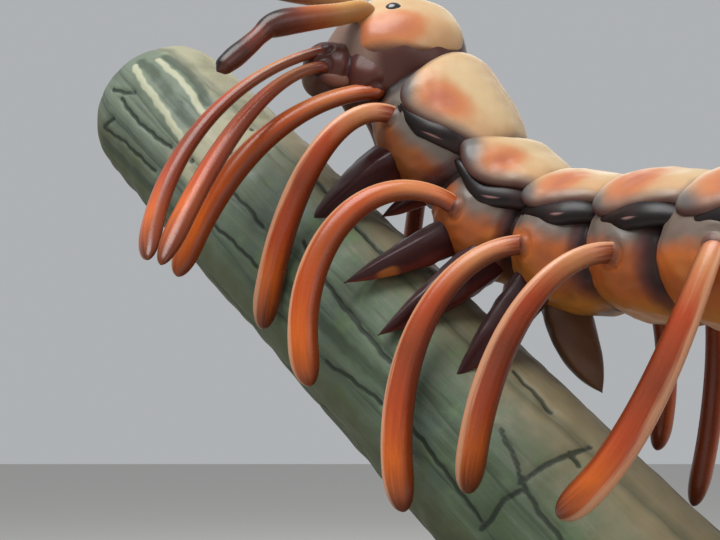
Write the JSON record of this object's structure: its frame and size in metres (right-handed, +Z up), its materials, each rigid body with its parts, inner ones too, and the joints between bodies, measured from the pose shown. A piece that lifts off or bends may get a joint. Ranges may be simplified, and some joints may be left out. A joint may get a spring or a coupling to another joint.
{
  "type": "giant centipede display sculpture",
  "caption": "Larger-than-life painted centipede sculpture that climbs along a slanting trunk, with domed back plates, horn-like legs and thick belly spines, on a flat display base.",
  "frame": {"origin": "middle of the underside of the base", "axes": "+Z up, the trunk leans up towards -X and +Y, the head is towards -X, and the side shown in the picture faces -Y"},
  "size_m": [7.3763, 5.1203, 4.675],
  "materials": {
    "body": "glossy, airbrushed from cream through orange to dark brown",
    "legs": "glossy orange with a pale rim",
    "antennae": "glossy orange, black at the end",
    "claws": "glossy dark brown",
    "eyes": "glossy black",
    "trunk": "varnished grey-green paint with cream stripes and dark cracks",
    "stand": "satin grey"
  },
  "bodies": {
    "root": {"stand_base": "stand", "stand_rod_middle": "stand", "stand_rod_rear": "stand", "trunk": "trunk", "head": "body", "neck": "body", "torso_1": "body", "torso_2": "body", "torso_3": "body", "torso_4": "body", "torso_5": "body", "torso_6": "body", "tail": "body", "leg_left_01": "legs", "leg_left_02": "legs", "leg_left_03": "legs", "leg_left_04": "legs", "leg_left_05": "legs", "leg_left_06": "legs", "leg_left_07": "legs", "leg_left_08": "legs", "leg_left_09": "legs", "leg_left_10": "legs", "leg_left_11": "legs", "leg_left_12": "legs", "leg_left_13": "legs", "leg_left_14": "legs", "leg_left_15": "legs", "leg_right_01": "legs", "leg_right_02": "legs", "leg_right_03": "legs", "leg_right_04": "legs", "leg_right_05": "legs", "leg_right_06": "legs", "leg_right_07": "legs", "leg_right_08": "legs", "leg_right_09": "legs", "leg_right_10": "legs", "leg_right_11": "legs", "leg_right_12": "legs", "leg_right_13": "legs", "leg_right_14": "legs", "leg_right_15": "legs", "antenna_left": "antennae", "antenna_right": "antennae", "claw_left": "claws", "claw_right": "claws", "eye_left": "eyes", "eye_right": "eyes"}
  },
  "joints": []
}
